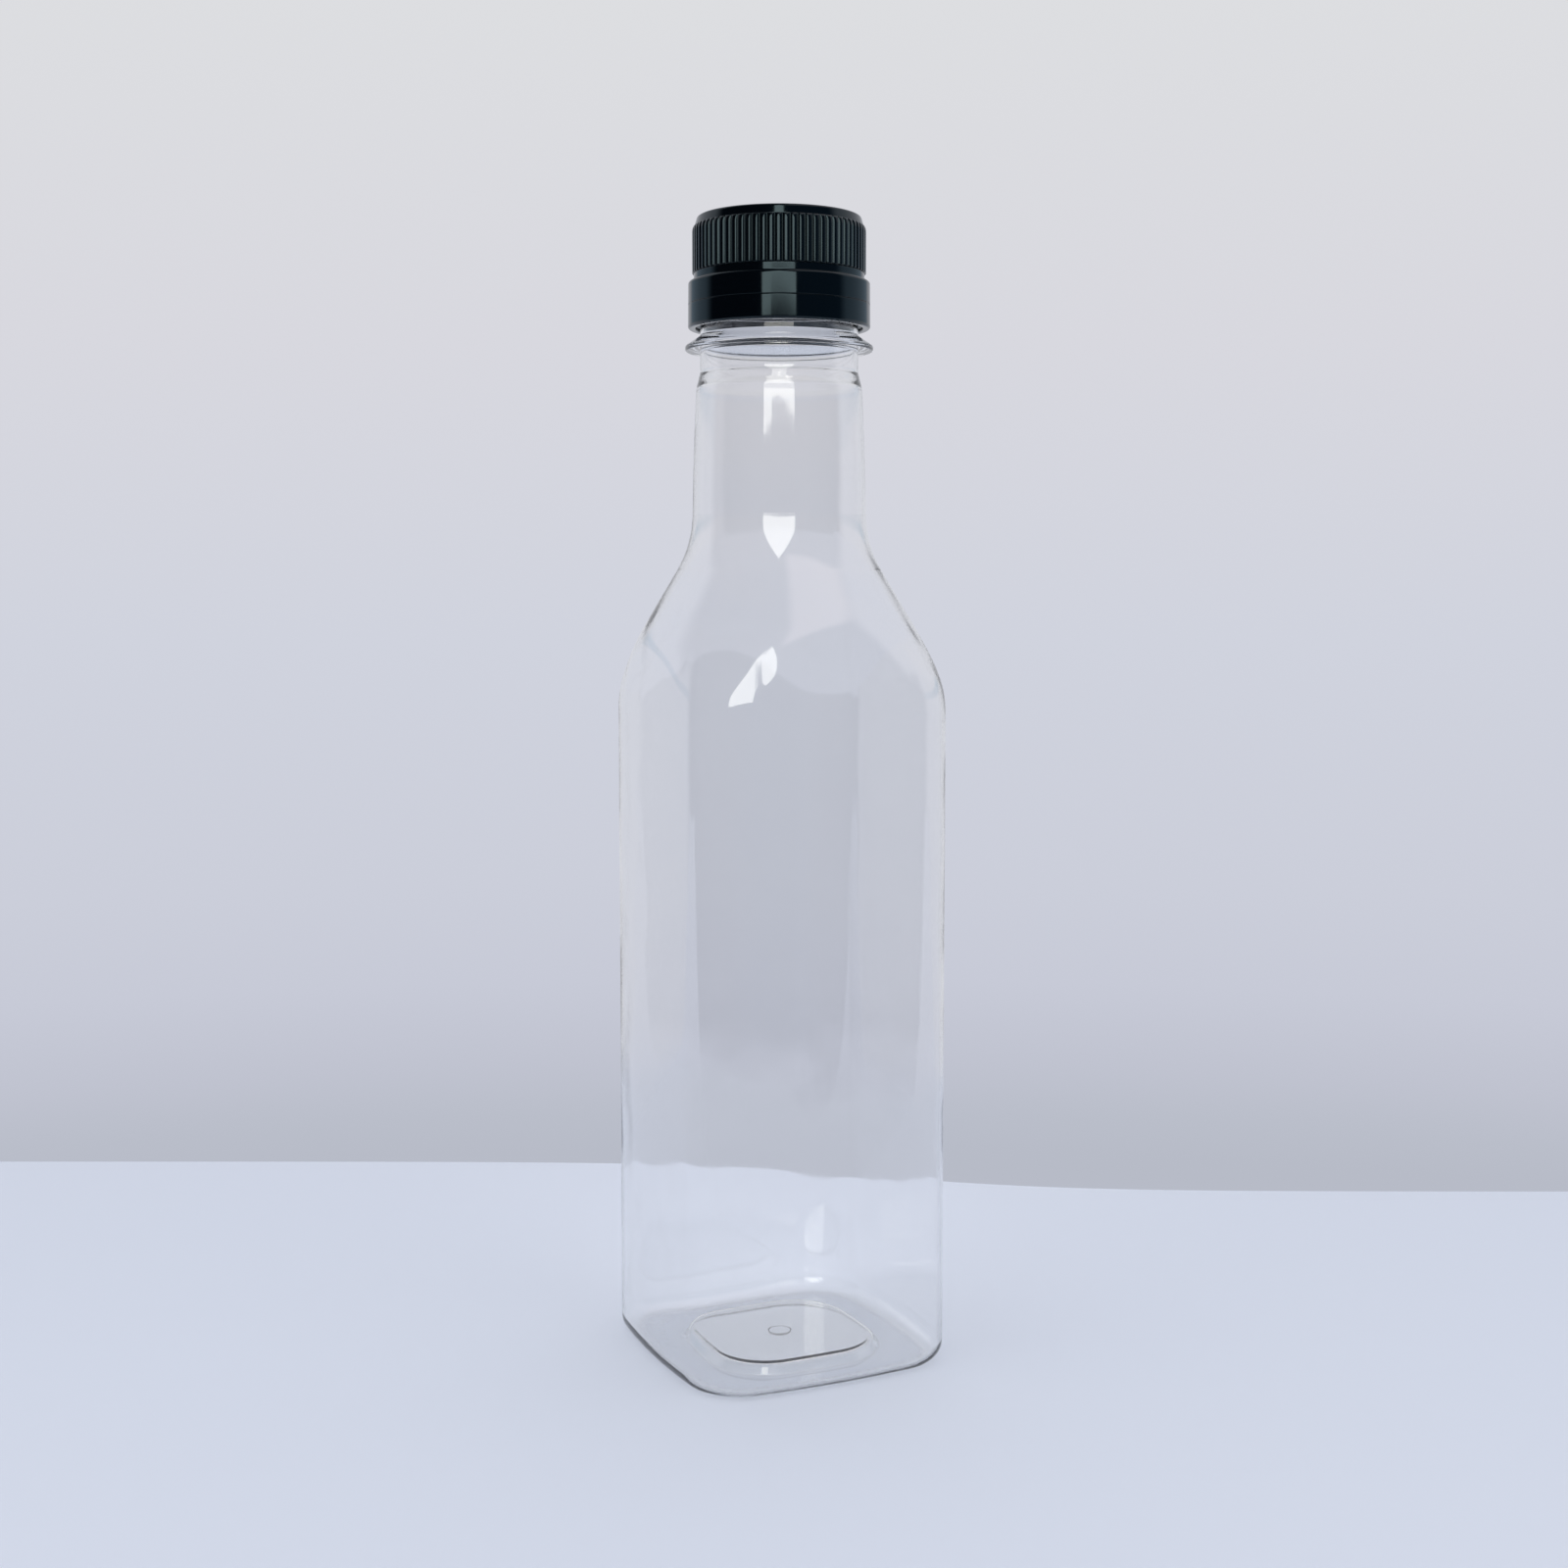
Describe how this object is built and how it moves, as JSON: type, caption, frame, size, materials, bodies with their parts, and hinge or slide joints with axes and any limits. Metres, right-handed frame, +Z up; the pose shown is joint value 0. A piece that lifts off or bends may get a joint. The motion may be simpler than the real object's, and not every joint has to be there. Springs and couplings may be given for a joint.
{
  "type": "plastic oil bottle",
  "caption": "Slim square-bodied oil bottle in clear plastic with a conical shoulder, a round neck with a carry ring, and a black ribbed screw cap with a tamper-evident band.",
  "frame": {"origin": "middle of the foot, on the plane that the bottle stands on", "axes": "+Z up along the neck; the four body faces look along X and Y"},
  "size_m": [0.0508, 0.0508, 0.201],
  "materials": {
    "clear_plastic": "gloss",
    "black_plastic": "gloss"
  },
  "bodies": {
    "root": {"bottle": "clear_plastic", "cap": "black_plastic"}
  },
  "joints": []
}
